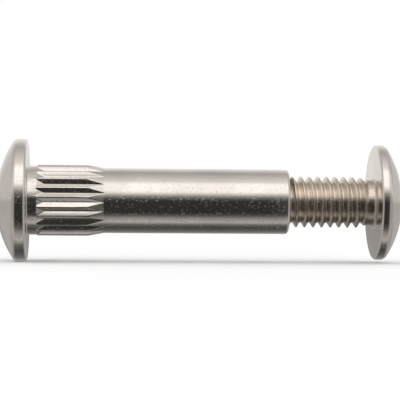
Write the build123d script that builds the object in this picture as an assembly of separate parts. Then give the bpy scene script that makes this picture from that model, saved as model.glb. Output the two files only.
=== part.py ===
from build123d import *
from math import cos, degrees, radians, sin, sqrt, tan
import os

# Binding barrel screw: a barrel, which is a sleeve nut with a domed head, and the M6 screw that threads
# into its mouth.
# The axis lies along X. The origin is on the axis, in the plane of the barrel head's bearing face.
# The barrel's head points to -X and the screw's head to +X. Sizes are in millimetres, angles in degrees.

# M6 coarse thread, here as its plain outer cylinder
THREAD_MAJOR_D = 5.9
THREAD_PITCH_D = 5.3
THREAD_FIT = 0.05              # radial clearance between the screw's crests and the barrel's bore

# Barrel
BARREL_LENGTH = 30.0           # bearing face to mouth
BARREL_D = 7.45
BARREL_HEAD_D = 14.0
BARREL_RIM = 1.45              # height of the head's edge
BARREL_DOME_R = 12.3
COLLAR_STEP = 0.245            # how far the plain collar under the head stands proud of the barrel
COLLAR_LENGTH = 1.1
MOUTH_EDGE = 0.35              # chamfer round the outside of the mouth
MOUTH_SINK = 0.3               # countersink round the inside of the mouth
BORE_SPARE = 2.0               # bore left beyond the screw's tip when the pair is closed
DRILL_POINT = 118.0

# Ribs that bite into the panel hole and stop the barrel from turning
RIB_COUNT = 22
RIB_HEIGHT = 0.33              # crests above the barrel
RIB_SINK = 0.025               # roots below the barrel
RIB_LAND = 0.12                # flat on each crest
RIB_END = 6.9                  # where the crests start to fall, from the bearing face
RIB_PHASE = 11.3               # turn of the first crest from +Y towards +Z
RIB_LEAD_IN = 0.9              # length over which the grooves deepen behind the collar
RIB_RUNOUT = 2.4               # length over which the crests fall to the roots

# Screw
SCREW_LENGTH = 20.0            # under the head
HEAD_STEP = 0.7                # how much smaller the screw's head is than the barrel's
SCREW_RIM = 1.15
SCREW_DOME_R = 11.7
NECK_LENGTH = 0.9              # plain neck between the head and the thread
THREAD_RUNOUT = 1.0
SCREW_POINT = 0.6              # chamfer at the tip
OPEN_GAP = 10.0                # barrel's mouth to the screw's bearing face, as the pair lies

# Both heads
SHOULDER_ROUND = 0.7           # between a head's edge and its dome
HEAD_EDGE = 0.3                # chamfer between a head's edge and its bearing face
RIM_DRAFT = 2.0                # taper of a head's edge, widest at the bearing face's end
SEAT_CLEAR = 0.05              # from the widest part below a head to the flat of its bearing face

# Drive slots
SLOT_WIDTH = 1.4
SLOT_DEPTH = 1.25
SLOT_END = 1.25                # from a slot's end to the head's edge
BARREL_SLOT_LEAN = 10.0        # slot's turn about the axis, away from upright
SCREW_SLOT_LEAN = 22.0

# Worked out from the sizes above
BARREL_R = BARREL_D / 2
THREAD_R = THREAD_MAJOR_D / 2
NECK_R = THREAD_PITCH_D / 2
COLLAR_R = BARREL_R + COLLAR_STEP
CREST_R = BARREL_R + RIB_HEIGHT
ROOT_R = BARREL_R - RIB_SINK
CORE_R = ROOT_R - RIB_SINK
BORE_R = THREAD_R + THREAD_FIT
BORE_DEPTH = SCREW_LENGTH + BORE_SPARE
RIB_STOP = RIB_END + RIB_RUNOUT
SCREW_FACE = BARREL_LENGTH + OPEN_GAP
SCREW_HEAD_D = BARREL_HEAD_D - HEAD_STEP
COLLAR_CONE = CREST_R - COLLAR_R + SEAT_CLEAR
NECK_CONE = THREAD_R - NECK_R + SEAT_CLEAR


def turned(*corners):
    """The body that a closed outline of (along, out) corners sweeps about X."""
    return revolve(make_face(Polyline(*corners, close=True)), Axis.X)


def polar(radius, angle):
    return (radius * cos(radians(angle)), radius * sin(radians(angle)))


def domed_head(diameter, rim, dome_r, slot_lean):
    """A slotted, domed head that stands on the plane X = 0 and points to -X."""
    radius = diameter / 2
    brow_r = radius - (rim - HEAD_EDGE) * tan(radians(RIM_DRAFT))
    crown = -rim - (dome_r - sqrt(dome_r**2 - brow_r**2))
    dome = RadiusArc((crown, 0), (-rim, brow_r), dome_r)
    edge = Polyline((-rim, brow_r), (-HEAD_EDGE, radius), (0, radius - HEAD_EDGE), (0, 0), (crown, 0))
    section = make_face(dome.edges() + edge.edges())
    shoulder = section.vertices().sort_by_distance((-rim, brow_r))[0]
    head = revolve(fillet(shoulder, SHOULDER_ROUND), Axis.X)
    slot_length = diameter - 2 * SLOT_END
    slot = Box(SLOT_DEPTH, SLOT_WIDTH, slot_length, align=(Align.MIN, Align.CENTER, Align.CENTER))
    return head - Rot(X=slot_lean) * Pos(X=crown) * slot


def root_cone(radius, leg):
    """The cone that fills the corner between a shaft and the bearing face at X = 0, on its +X side."""
    return turned((0, 0), (0, radius + leg), (leg, radius), (leg, 0))


def ribs():
    """The ribbed band: V grooves in a blank that tapers down to the groove roots at its far end."""
    pitch = 360 / RIB_COUNT
    half_land = degrees(RIB_LAND / 2 / CREST_R)
    corners = []
    for i in range(RIB_COUNT):
        crest = RIB_PHASE + i * pitch
        corners.append(polar(CREST_R, crest - half_land))
        corners.append(polar(CREST_R, crest + half_land))
        corners.append(polar(ROOT_R, crest + pitch / 2))
    section = Plane.YZ.offset(COLLAR_LENGTH) * make_face(Polyline(*corners, close=True))
    star = extrude(section, RIB_STOP - COLLAR_LENGTH)
    blank = turned(
        (COLLAR_LENGTH, 0),
        (COLLAR_LENGTH, COLLAR_R),
        (COLLAR_LENGTH + CREST_R - COLLAR_R, CREST_R),
        (RIB_END, CREST_R),
        (RIB_STOP, ROOT_R),
        (RIB_STOP, 0),
    )
    return star & blank


def shank():
    """The barrel's body without its ribs: collar, core under the ribs, and plain barrel up to the mouth."""
    fall = (CREST_R - BARREL_R) / (CREST_R - ROOT_R)
    plain_start = RIB_END + RIB_RUNOUT * fall
    return turned(
        (0, 0),
        (0, COLLAR_R),
        (COLLAR_LENGTH, COLLAR_R),
        (COLLAR_LENGTH + RIB_LEAD_IN, CORE_R),
        (plain_start, CORE_R),
        (plain_start, BARREL_R),
        (BARREL_LENGTH - MOUTH_EDGE, BARREL_R),
        (BARREL_LENGTH, BARREL_R - MOUTH_EDGE),
        (BARREL_LENGTH, 0),
    )


def bore():
    """The blind bore for the screw, with a drilled end and a countersunk mouth."""
    bottom = BARREL_LENGTH - BORE_DEPTH
    point = BORE_R / tan(radians(DRILL_POINT / 2))
    return turned(
        (bottom - point, 0),
        (bottom, BORE_R),
        (BARREL_LENGTH - MOUTH_SINK, BORE_R),
        (BARREL_LENGTH, BORE_R + MOUTH_SINK),
        (BARREL_LENGTH, 0),
    )


def binding_barrel():
    head = domed_head(BARREL_HEAD_D, BARREL_RIM, BARREL_DOME_R, BARREL_SLOT_LEAN)
    return head + root_cone(COLLAR_R, COLLAR_CONE) + shank() + ribs() - bore()


def binding_screw():
    """The screw, with its bearing face at SCREW_FACE and its tip inside the barrel."""
    head = domed_head(SCREW_HEAD_D, SCREW_RIM, SCREW_DOME_R, SCREW_SLOT_LEAN)
    body = turned(
        (0, 0),
        (0, NECK_R),
        (NECK_LENGTH, NECK_R),
        (NECK_LENGTH + THREAD_RUNOUT, THREAD_R),
        (SCREW_LENGTH - SCREW_POINT, THREAD_R),
        (SCREW_LENGTH, THREAD_R - SCREW_POINT),
        (SCREW_LENGTH, 0),
    )
    screw = head + root_cone(NECK_R, NECK_CONE) + body
    return Pos(X=SCREW_FACE) * mirror(screw, Plane.YZ)


os.makedirs("parts", exist_ok=True)
export_step(binding_barrel(), "parts/binding_barrel.step")
export_step(binding_screw(), "parts/binding_screw.step")
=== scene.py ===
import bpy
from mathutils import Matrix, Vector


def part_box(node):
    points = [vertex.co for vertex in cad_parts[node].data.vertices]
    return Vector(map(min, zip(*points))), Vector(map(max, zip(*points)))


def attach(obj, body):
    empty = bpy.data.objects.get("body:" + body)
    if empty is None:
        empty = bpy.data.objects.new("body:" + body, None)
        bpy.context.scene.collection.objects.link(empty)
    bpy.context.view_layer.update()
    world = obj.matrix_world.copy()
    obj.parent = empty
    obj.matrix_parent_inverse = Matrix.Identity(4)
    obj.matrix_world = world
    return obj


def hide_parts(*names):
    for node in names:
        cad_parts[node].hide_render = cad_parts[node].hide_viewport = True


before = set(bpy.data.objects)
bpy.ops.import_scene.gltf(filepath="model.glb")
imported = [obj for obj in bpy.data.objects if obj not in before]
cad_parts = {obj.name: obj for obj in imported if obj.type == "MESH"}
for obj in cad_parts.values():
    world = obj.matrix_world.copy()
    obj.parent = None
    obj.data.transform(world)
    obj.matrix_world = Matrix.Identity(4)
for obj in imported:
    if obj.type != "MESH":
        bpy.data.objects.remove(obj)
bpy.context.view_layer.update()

from math import atan2, cos, degrees, pi, radians, sin, sqrt, tan

import bmesh
import bpy
from mathutils import Matrix, Vector

bl_info = {
    "name": "Binding barrel screw",
    "version": (1, 0, 0),
    "blender": (4, 5, 0),
    "location": "View3D > Sidebar > Binding screw",
    "description": "A ribbed binding barrel and its slotted screw, in bright nickel plate",
    "category": "Add Mesh",
}

MM = 0.001
BARREL_NODE, SCREW_NODE = "binding_barrel", "binding_screw"
BARREL_LOW, BARREL_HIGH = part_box(BARREL_NODE)
SCREW_LOW, SCREW_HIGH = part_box(SCREW_NODE)

# Sizes in millimetres that both pieces share
THREAD_PITCH = 1.0
THREAD_MAJOR_R = 2.95
THREAD_CREST_AT = 0.22        # where a crest passes +Y, past a whole millimetre
THREAD_SHAPE = (              # one turn's outline: part of the pitch from a crest, depth below the crest
    (0.0, 0.0),
    (0.045, 0.008),
    (0.085, 0.04),
    (0.38, 0.50),
    (0.43, 0.545),
    (0.50, 0.56),
    (0.57, 0.545),
    (0.62, 0.50),
    (0.915, 0.04),
    (0.955, 0.008),
)
SHOULDER_ROUND = 0.7
EDGE_ROUND = 0.3
SLOT_END = 1.25               # from a slot's end to the head's edge
SEAT_CLEAR = 0.05             # from the widest part below a head to the flat of its bearing face
RIM_DRAFT = 2.0               # the rim's taper, in degrees

MERGE = 5e-7                  # points nearer than this are one, in metres
SHARP_FROM = 27.0             # the least angle of an edge that is shaded sharp, in degrees
SECTOR_STEPS = 20             # steps in the sector that is spun before it is copied round


def length(name, description, default):
    """A size property, in metres as Blender keeps lengths."""
    return bpy.props.FloatProperty(
        name=name, description=description, default=default * MM, unit="LENGTH", precision=5
    )


def tint(name, description, default):
    return bpy.props.FloatVectorProperty(
        name=name, description=description, default=default, size=3, subtype="COLOR", min=0.0, max=1.0
    )


class BarrelSettings(bpy.types.PropertyGroup):
    barrel_d: length("Barrel diameter", "Plain outside diameter of the sleeve", 7.45)
    rim: length("Rim height", "Height of the head's edge", 1.45)
    dome_r: length("Dome radius", "Radius of the head's dome", 12.3)
    rib_height: length("Rib height", "How far the rib crests stand above the barrel", 0.33)
    slot_width: length("Slot width", "Width of the screwdriver slot", 1.4)
    slot_depth: length("Slot depth", "Depth of the screwdriver slot under the crown", 1.25)
    rib_count: bpy.props.IntProperty(name="Ribs", description="Ribs round the barrel", default=22, min=6)
    slot_lean: bpy.props.FloatProperty(
        name="Slot lean", description="Turn of the slot from upright", default=radians(10), subtype="ANGLE"
    )
    colour: tint("Nickel", "Colour of the barrel's nickel plate", (0.80, 0.765, 0.73))


class ScrewSettings(bpy.types.PropertyGroup):
    neck_d: length("Neck diameter", "Plain neck between the head and the thread", 5.3)
    rim: length("Rim height", "Height of the head's edge", 1.15)
    dome_r: length("Dome radius", "Radius of the head's dome", 11.7)
    slot_width: length("Slot width", "Width of the screwdriver slot", 1.4)
    slot_depth: length("Slot depth", "Depth of the screwdriver slot under the crown", 1.25)
    slot_lean: bpy.props.FloatProperty(
        name="Slot lean", description="Turn of the slot from upright", default=radians(22), subtype="ANGLE"
    )
    colour: tint("Head nickel", "Colour of the screw head's nickel plate", (0.80, 0.765, 0.73))
    thread_colour: tint("Thread nickel", "Colour of the plate on the rolled thread", (0.74, 0.67, 0.59))


class StageSettings(bpy.types.PropertyGroup):
    lens: bpy.props.FloatProperty(name="Lens", description="Focal length in millimetres", default=148.7)
    floor: tint("Floor", "Colour of the floor", (1.0, 1.0, 1.0))


class Wire:
    """A node's output that sums and products can be written with, which add their Math nodes."""

    def __init__(self, tree, socket):
        self.tree = tree
        self.socket = socket

    def math(self, operation, first, second=0.0):
        return make(self.tree, "Math", {"operation": operation}, {0: first, 1: second})

    def __add__(self, other):
        return self.math("ADD", self, other)

    def __sub__(self, other):
        return self.math("SUBTRACT", self, other)

    def __rsub__(self, other):
        return self.math("SUBTRACT", other, self)

    def __mul__(self, other):
        return self.math("MULTIPLY", self, other)

    def __truediv__(self, other):
        return self.math("DIVIDE", self, other)

    __radd__ = __add__
    __rmul__ = __mul__

    def within(self, low, high):
        """0 below low, 1 above high and a smooth step between them."""
        return make(self.tree, "MapRange", {"interpolation_type": "SMOOTHSTEP"}, {0: self, 1: low, 2: high})


def make(tree, kind, settings=None, sockets=None, output=0):
    """A new shader node: its settings first, then the values and links of its sockets."""
    node = tree.nodes.new("ShaderNode" + kind)
    for name, value in (settings or {}).items():
        if name == "stops":
            elements = node.color_ramp.elements
            ends = ((elements[0], value[0]), (elements[1], value[-1]))
            for element, (place, colour) in ends:
                element.position = place
                element.color = (*colour, 1.0)
            for place, colour in value[1:-1]:
                elements.new(place).color = (*colour, 1.0)
        else:
            setattr(node, name, value)
    for name, value in (sockets or {}).items():
        socket = node.inputs[name]
        if isinstance(value, Wire):
            tree.links.new(value.socket, socket)
        else:
            socket.default_value = value
    return Wire(tree, node.outputs[output]) if len(node.outputs) else None


def new_material(name):
    material = bpy.data.materials.new(name)
    material.use_nodes = True
    material.node_tree.nodes.clear()
    return material, material.node_tree


def finish_material(tree, shader):
    make(tree, "OutputMaterial", None, {"Surface": shader})


def nickel(name, colour, roughness, ripple, pits, soil):
    """Nickel plate: slow ripples and fine pits in the surface, and a dull film that thickens in patches."""
    material, tree = new_material(name)
    place = make(tree, "TexCoord", None, None, "Object")
    swell = make(tree, "TexNoise", None, {"Vector": place, "Scale": 420.0, "Detail": 2.0})
    grain = make(tree, "TexNoise", None, {"Vector": place, "Scale": 3600.0, "Detail": 4.0, "Roughness": 0.65})
    cloud = make(tree, "TexNoise", None, {"Vector": place, "Scale": 150.0, "Detail": 5.0, "Roughness": 0.6})
    pocks = grain.within(0.57, 0.70)
    film = cloud.within(0.42, 0.68)
    dull = make(
        tree,
        "Mix",
        {"data_type": "RGBA"},
        {"Factor": film * soil + pocks * 0.12, "A": (*colour, 1.0), "B": (*(c * 0.72 for c in colour), 1.0)},
        "Result",
    )
    height = swell * ripple + grain * 0.25 - pocks * pits
    bump = make(tree, "Bump", None, {"Strength": 0.45, "Distance": 2.2e-5, "Height": height})
    shader = make(
        tree,
        "BsdfPrincipled",
        None,
        {
            "Base Color": dull,
            "Metallic": 1.0,
            "Roughness": film * 0.05 + grain * 0.06 + roughness,
            "Normal": bump,
        },
    )
    finish_material(tree, shader)
    return material


def arc(centre, radius, start, end, steps):
    """Points of an arc in the (along, out) plane, from angle start to end, in degrees."""
    turns = (radians(start + (end - start) * k / steps) for k in range(steps + 1))
    return [(centre[0] + radius * cos(a), centre[1] + radius * sin(a)) for a in turns]


def head_outline(radius, rim, dome_r):
    """A domed head that stands on X = 0 and points to -X, from its crown to its bearing face."""
    brow_r = radius - (rim - EDGE_ROUND) * tan(radians(RIM_DRAFT))
    dome_x = sqrt(dome_r**2 - brow_r**2) - rim
    round_r = radius - SHOULDER_ROUND
    round_x = dome_x - sqrt((dome_r - SHOULDER_ROUND) ** 2 - round_r**2)
    meet = degrees(atan2(round_r, round_x - dome_x))
    dome = arc((dome_x, 0), dome_r, 180, meet, 34)
    dome[0] = (dome[0][0], 0.0)
    shoulder = arc((round_x, round_r), SHOULDER_ROUND, meet, 90, 10)
    edge = arc((-EDGE_ROUND, radius - EDGE_ROUND), EDGE_ROUND, 90, 0, 6)
    return dome + shoulder[1:] + edge


def spin_outline(mesh, outline, steps, advance=0.0):
    """Turns a line of (along, out) points, in millimetres, about the X axis, and moves it along meanwhile.

    One sector is spun and then copied round, which is far quicker than one long spin.
    """
    before = set(mesh.verts)
    verts = [mesh.verts.new((x * MM, r * MM, 0.0)) for x, r in outline]
    edges = [mesh.edges.new(pair) for pair in zip(verts, verts[1:])]
    sectors = steps // SECTOR_STEPS
    turn = 2 * pi / sectors
    about_x = {"cent": (0, 0, 0), "axis": (1, 0, 0)}
    drift = Vector((advance * MM / steps, 0, 0))
    bmesh.ops.spin(mesh, geom=verts + edges, angle=turn, steps=SECTOR_STEPS, dvec=drift, **about_x)
    skin = [v for v in mesh.verts if v not in before]
    faces = {face for vert in skin for face in vert.link_faces}
    lines = {edge for face in faces for edge in face.edges}
    bmesh.ops.spin(
        mesh,
        geom=skin + list(lines) + list(faces),
        angle=turn * (sectors - 1),
        steps=sectors - 1,
        dvec=drift * SECTOR_STEPS,
        use_duplicate=True,
        **about_x,
    )
    return [v for v in mesh.verts if v not in before]


def spin_thread(mesh, start, end, clearance, steps, limits):
    """A thread's helical skin between two planes, where limits gives each point its least and most radius.

    The outline of many turns is spun while it moves along by one pitch, so its last copy meets the first one.
    """
    outline = []
    for turn in range(int(start) - 2, int(end) + 2):
        for part, depth in THREAD_SHAPE:
            along = THREAD_CREST_AT + (turn + part) * THREAD_PITCH
            outline.append((along, THREAD_MAJOR_R + clearance - depth))
    skin = spin_outline(mesh, outline, steps, THREAD_PITCH)
    for vert in skin:
        along = min(max(vert.co.x / MM, start), end)
        out = Vector((0.0, vert.co.y, vert.co.z))
        low, high = limits(along)
        radius = min(max(out.length / MM, low), high)
        vert.co = out.normalized() * radius * MM + Vector((along * MM, 0, 0))
    bmesh.ops.remove_doubles(mesh, verts=skin, dist=MERGE)


def close_mesh(mesh):
    """Joins the skins where they meet and turns every face outwards."""
    bmesh.ops.remove_doubles(mesh, verts=mesh.verts[:], dist=MERGE)
    bmesh.ops.dissolve_degenerate(mesh, dist=MERGE, edges=mesh.edges[:])
    bmesh.ops.recalc_face_normals(mesh, faces=mesh.faces[:])


def new_object(name, mesh):
    data = bpy.data.meshes.new(name)
    mesh.to_mesh(data)
    mesh.free()
    piece = bpy.data.objects.new(name, data)
    bpy.context.scene.collection.objects.link(piece)
    return piece


def cut_slot(piece, crown, radius, width, depth, lean):
    """Cuts a flat-floored slot into a head, from its crown."""
    cutter = bmesh.new()
    slot_length = 2 * (radius - SLOT_END)
    size = Matrix.Diagonal((2 * depth, width, slot_length * MM, 1.0))
    place = Matrix.Rotation(lean, 4, "X") @ Matrix.Translation((crown, 0, 0)) @ size
    bmesh.ops.create_cube(cutter, size=1.0, matrix=place)
    tool = new_object(piece.name + "_slot", cutter)
    cut = piece.modifiers.new("slot", "BOOLEAN")
    cut.operation = "DIFFERENCE"
    cut.solver = "EXACT"
    cut.object = tool
    shape = bpy.data.meshes.new_from_object(piece.evaluated_get(bpy.context.evaluated_depsgraph_get()))
    piece.modifiers.clear()
    old = piece.data
    piece.data = shape
    bpy.data.meshes.remove(old)
    shape.name = piece.name
    bpy.data.objects.remove(tool)


def shade(piece):
    piece.data.shade_smooth()
    piece.data.set_sharp_from_angle(angle=radians(SHARP_FROM))


class SCREW_OT_barrel(bpy.types.Operator):
    """Make the ribbed binding barrel with its domed head and threaded bore"""

    bl_idname = "binding_screw.barrel"
    bl_label = "Make the barrel"

    STEPS_PER_RIB = 20
    COLLAR_R, COLLAR_END = 3.97, 1.1
    GROOVE_FULL = 2.0            # where the grooves reach their depth
    RIB_END, RIB_STOP = 6.9, 8.9
    RIB_SINK = 0.025
    HALF_LAND = 0.06             # half the width of a rib's crest
    RIB_PHASE = 11.3
    THREAD_START = 22.0          # plain bore up to here, internal thread from here to the mouth
    THREAD_FIT = 0.05            # radial clearance round the screw
    BORE_R, BORE_END, DRILL_TIP = 3.0, 8.0, 6.2
    MOUTH_SINK, MOUTH_ROUND = 0.3, 0.35
    MOUTH_RELIEF = 1.1           # bored clear of the thread, for the screw's plain neck

    def rib_radius(self, along, angle, crest, root):
        """The ribbed band's radius at a place along the axis and an angle round it."""
        pitch = 360 / bpy.context.scene.binding_barrel.rib_count
        land = degrees(self.HALF_LAND / crest)
        off = abs((angle - self.RIB_PHASE + pitch / 2) % pitch - pitch / 2)
        fall = min(max((off - land) / (pitch / 2 - land), 0.0), 1.0)
        star = crest + (root - crest) * fall
        if along < self.COLLAR_END + crest - self.COLLAR_R:
            blank = self.COLLAR_R + along - self.COLLAR_END
        else:
            blank = crest + (root - crest) * max(along - self.RIB_END, 0.0) / (self.RIB_STOP - self.RIB_END)
        deepen = (along - self.COLLAR_END) / (self.GROOVE_FULL - self.COLLAR_END)
        core = self.COLLAR_R + (root - self.COLLAR_R) * min(deepen, 1.0)
        radius = max(min(star, blank), core)
        plain_from = self.RIB_STOP - (self.RIB_STOP - self.RIB_END) * self.RIB_SINK / (crest - root)
        return max(radius, root + self.RIB_SINK) if along > plain_from else radius

    def execute(self, context):
        sizes = context.scene.binding_barrel
        head_r = (BARREL_HIGH.z - BARREL_LOW.z) / 2 / MM
        mouth = BARREL_HIGH.x / MM
        barrel_r = sizes.barrel_d / 2 / MM
        crest = barrel_r + sizes.rib_height / MM
        root = barrel_r - self.RIB_SINK
        steps = sizes.rib_count * self.STEPS_PER_RIB

        outline = head_outline(head_r, sizes.rim / MM, sizes.dome_r / MM)
        seat = crest - self.COLLAR_R + SEAT_CLEAR
        outline += arc((seat, self.COLLAR_R + seat), seat, 180, 270, 4)
        outline += [(self.COLLAR_END, self.COLLAR_R)]
        lead_in = self.GROOVE_FULL - self.COLLAR_END
        outline += [(self.COLLAR_END + lead_in * k / 12, crest) for k in range(1, 13)]
        outline += [(3.6, crest), (5.2, crest)]
        runout = self.RIB_STOP - self.RIB_END
        outline += [(self.RIB_END + runout * k / 26, crest) for k in range(27)]
        outline += [(14.0, barrel_r), (20.0, barrel_r), (25.0, barrel_r)]
        outline += arc((mouth - self.MOUTH_ROUND, barrel_r - self.MOUTH_ROUND), self.MOUTH_ROUND, 90, 0, 6)
        outline += [(mouth, self.BORE_R + self.MOUTH_SINK)]

        mesh = bmesh.new()
        spin_outline(mesh, outline, steps)
        for vert in mesh.verts:
            along = vert.co.x / MM
            if self.COLLAR_END + 0.01 < along < self.RIB_STOP + 0.01:
                angle = degrees(atan2(vert.co.z, vert.co.y))
                out = Vector((0, vert.co.y, vert.co.z)).normalized()
                radius = self.rib_radius(along, angle, crest, root)
                vert.co = Vector((vert.co.x, 0, 0)) + out * radius * MM
        hole = [(self.THREAD_START, self.BORE_R), (self.BORE_END, self.BORE_R), (self.DRILL_TIP, 0.0)]
        spin_outline(mesh, hole, steps)

        def limits(along):
            sink = self.BORE_R + self.MOUTH_SINK - (mouth - along)
            start = self.BORE_R - (along - self.THREAD_START)
            relief = min(self.BORE_R, self.BORE_R - (mouth - self.MOUTH_RELIEF - along))
            return max(sink, start, relief), self.BORE_R if along < mouth - self.MOUTH_SINK else sink

        spin_thread(mesh, self.THREAD_START, mouth, self.THREAD_FIT, steps, limits)
        close_mesh(mesh)
        piece = new_object("ribbed_barrel", mesh)
        cut_slot(piece, BARREL_LOW.x, head_r, sizes.slot_width, sizes.slot_depth, sizes.slot_lean)
        shade(piece)
        piece.data.materials.clear()
        piece.data.materials.append(nickel("barrel nickel", sizes.colour, 0.07, 1.0, 0.8, 0.35))
        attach(piece, "barrel")
        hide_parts(BARREL_NODE)
        return {"FINISHED"}


class SCREW_OT_screw(bpy.types.Operator):
    """Make the slotted screw with its rolled thread"""

    bl_idname = "binding_screw.screw"
    bl_label = "Make the screw"

    STEPS = 180
    SCREW_LENGTH = 20.0
    NECK_LENGTH = 0.9
    RUNOUT = 1.15
    POINT = 0.6

    def execute(self, context):
        sizes = context.scene.binding_screw_sizes
        head_r = (SCREW_HIGH.z - SCREW_LOW.z) / 2 / MM
        tip = SCREW_LOW.x / MM
        face = tip + self.SCREW_LENGTH
        neck = face - self.NECK_LENGTH
        neck_r = sizes.neck_d / 2 / MM
        tip_r = THREAD_MAJOR_R - self.POINT

        def limits(along):
            point = tip_r + (along - tip)
            fade = max((along - neck + self.RUNOUT) / self.RUNOUT, 0.0)
            low = neck_r * fade
            high = neck_r + (THREAD_MAJOR_R - neck_r) * (1 - fade)
            return min(low, point), min(high, point)

        mesh = bmesh.new()
        spin_thread(mesh, tip, neck, 0.0, self.STEPS, limits)
        spin_outline(mesh, [(tip, 0.0), (tip, tip_r)], self.STEPS)
        seat = THREAD_MAJOR_R - neck_r + SEAT_CLEAR
        outline = [(neck, neck_r)] + [(face - x, r) for x, r in arc((seat, neck_r + seat), seat, 270, 180, 6)]
        head = head_outline(head_r, sizes.rim / MM, sizes.dome_r / MM)
        outline += [(face - x, r) for x, r in reversed(head)]
        spin_outline(mesh, outline, self.STEPS)
        close_mesh(mesh)
        piece = new_object("slotted_screw", mesh)
        cut_slot(piece, SCREW_HIGH.x, head_r, sizes.slot_width, sizes.slot_depth, sizes.slot_lean)
        shade(piece)
        piece.data.materials.clear()
        piece.data.materials.append(nickel("screw head nickel", sizes.colour, 0.06, 0.8, 0.4, 0.25))
        piece.data.materials.append(nickel("thread nickel", sizes.thread_colour, 0.17, 1.0, 1.0, 0.9))
        for polygon in piece.data.polygons:
            polygon.material_index = int(polygon.center.x < (face - 0.02) * MM)
        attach(piece, "screw")
        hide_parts(SCREW_NODE)
        return {"FINISHED"}


# What stands round the object, by the angle over it from the camera's side: (degrees, brightness)
SURROUNDINGS = (
    (-180, 0.30),
    (-170, 0.42),
    (-156, 0.36),
    (-142, 0.20),
    (-125, 0.12),
    (-108, 0.07),
    (-92, 0.16),
    (-80, 0.52),
    (-66, 0.35),
    (-53, 0.11),
    (-42, 0.035),
    (0, 0.035),
    (8, 0.10),
    (17, 0.30),
    (25, 0.76),
    (33, 1.25),
    (62, 1.32),
    (74, 0.86),
    (92, 0.66),
    (115, 0.45),
    (128, 0.54),
    (150, 0.90),
    (180, 0.80),
)


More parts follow.
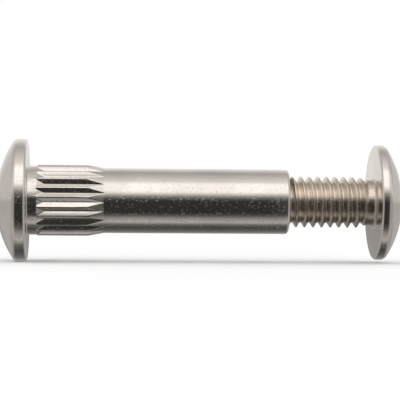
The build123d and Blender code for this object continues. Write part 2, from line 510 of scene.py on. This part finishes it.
class SCREW_OT_stage(bpy.types.Operator):
    """Make the floor, the surroundings, the backdrop and the camera"""

    bl_idname = "binding_screw.stage"
    bl_label = "Make the stage"

    TENT_R = 0.6
    CAMERA_AT = (8.65, -190.5, 0.0)
    CAMERA_YAW, CAMERA_PITCH, CAMERA_ROLL = -3.36, 0.045, 0.41

    def floor(self, colour):
        mesh = bmesh.new()
        level = Matrix.Translation((0, 0, BARREL_LOW.z))
        bmesh.ops.create_grid(mesh, x_segments=1, y_segments=1, size=20.0, matrix=level)
        floor = new_object("floor", mesh)
        material, tree = new_material("floor white")
        place = make(tree, "TexCoord", None, None, "Object")
        mottle = make(tree, "TexNoise", None, {"Vector": place, "Scale": 30.0})
        shader = make(
            tree, "BsdfDiffuse", None, {"Color": (*colour, 1.0), "Roughness": mottle * 0.1}
        )
        finish_material(tree, shader)
        floor.data.materials.append(material)
        floor.visible_glossy = False
        return floor

    def tent(self):
        """Panels all round, seen by gloss alone, whose brightness goes by the angle over the object."""
        mesh = bmesh.new()
        bmesh.ops.create_uvsphere(mesh, u_segments=48, v_segments=24, radius=self.TENT_R)
        tent = new_object("panels", mesh)
        material, tree = new_material("panels")
        place = make(tree, "TexCoord", None, None, "Object")
        split = make(tree, "SeparateXYZ", None, {0: place})
        across = Wire(tree, split.socket.node.outputs["X"])
        away = Wire(tree, split.socket.node.outputs["Y"])
        up = Wire(tree, split.socket.node.outputs["Z"])
        turn = up.math("ARCTAN2", up, 0.0 - away) / (2 * pi) + 0.5
        stops = [
            ((angle + 180) / 360, (shade, shade * 0.97, shade * 0.935)) for angle, shade in SURROUNDINGS
        ]
        bands = make(tree, "ValToRGB", {"stops": stops}, {0: turn})
        side = across.math("ABSOLUTE", across / self.TENT_R).within(0.22, 0.60)
        colour = make(
            tree,
            "Mix",
            {"data_type": "RGBA"},
            {"Factor": side * 0.72, "A": bands, "B": (0.52, 0.50, 0.485, 1.0)},
            "Result",
        )
        finish_material(tree, make(tree, "Emission", None, {"Color": colour, "Strength": 1.0}))
        tent.data.materials.append(material)
        tent.visible_camera = False
        tent.visible_diffuse = False
        tent.visible_shadow = False
        tent.visible_transmission = False
        return tent

    def execute(self, context):
        scene = context.scene
        stage = scene.binding_stage
        self.floor(stage.floor)
        self.tent()

        world = bpy.data.worlds.new("white backdrop")
        world.use_nodes = True
        world.node_tree.nodes.clear()
        white = make(world.node_tree, "Background", None, {"Color": (1.0, 1.0, 1.0, 1.0), "Strength": 1.0})
        make(world.node_tree, "OutputWorld", None, {"Surface": white})
        scene.world = world

        camera = bpy.data.objects.new("camera", bpy.data.cameras.new("camera"))
        scene.collection.objects.link(camera)
        camera.data.lens = stage.lens
        camera.data.clip_start = 0.01
        camera.matrix_world = (
            Matrix.Translation(Vector(self.CAMERA_AT) * MM)
            @ Matrix.Rotation(radians(self.CAMERA_YAW), 4, "Z")
            @ Matrix.Rotation(radians(90 + self.CAMERA_PITCH), 4, "X")
            @ Matrix.Rotation(radians(self.CAMERA_ROLL), 4, "Z")
        )
        scene.camera = camera
        scene.view_settings.view_transform = "Standard"
        return {"FINISHED"}


class SCREW_PT_panel(bpy.types.Panel):
    """The pieces and their sizes"""

    bl_idname = "SCREW_PT_panel"
    bl_label = "Binding barrel screw"
    bl_space_type = "VIEW_3D"
    bl_region_type = "UI"
    bl_category = "Binding screw"

    def draw(self, context):
        for operator, group in PARTS:
            box = self.layout.box()
            box.operator(operator.bl_idname)
            sizes = getattr(context.scene, group)
            for name in sizes.__annotations__:
                box.prop(sizes, name)


SETTINGS = (
    ("binding_stage", StageSettings),
    ("binding_barrel", BarrelSettings),
    ("binding_screw_sizes", ScrewSettings),
)
PARTS = (
    (SCREW_OT_stage, "binding_stage"),
    (SCREW_OT_barrel, "binding_barrel"),
    (SCREW_OT_screw, "binding_screw_sizes"),
)


def register():
    for name, group in SETTINGS:
        bpy.utils.register_class(group)
        setattr(bpy.types.Scene, name, bpy.props.PointerProperty(type=group))
    for operator, _ in PARTS:
        bpy.utils.register_class(operator)
    bpy.utils.register_class(SCREW_PT_panel)


def unregister():
    bpy.utils.unregister_class(SCREW_PT_panel)
    for operator, _ in reversed(PARTS):
        bpy.utils.unregister_class(operator)
    for name, group in reversed(SETTINGS):
        delattr(bpy.types.Scene, name)
        bpy.utils.unregister_class(group)


def main():
    register()
    bpy.ops.binding_screw.stage()
    bpy.ops.binding_screw.barrel()
    bpy.ops.binding_screw.screw()


if __name__ == "__main__":
    main()
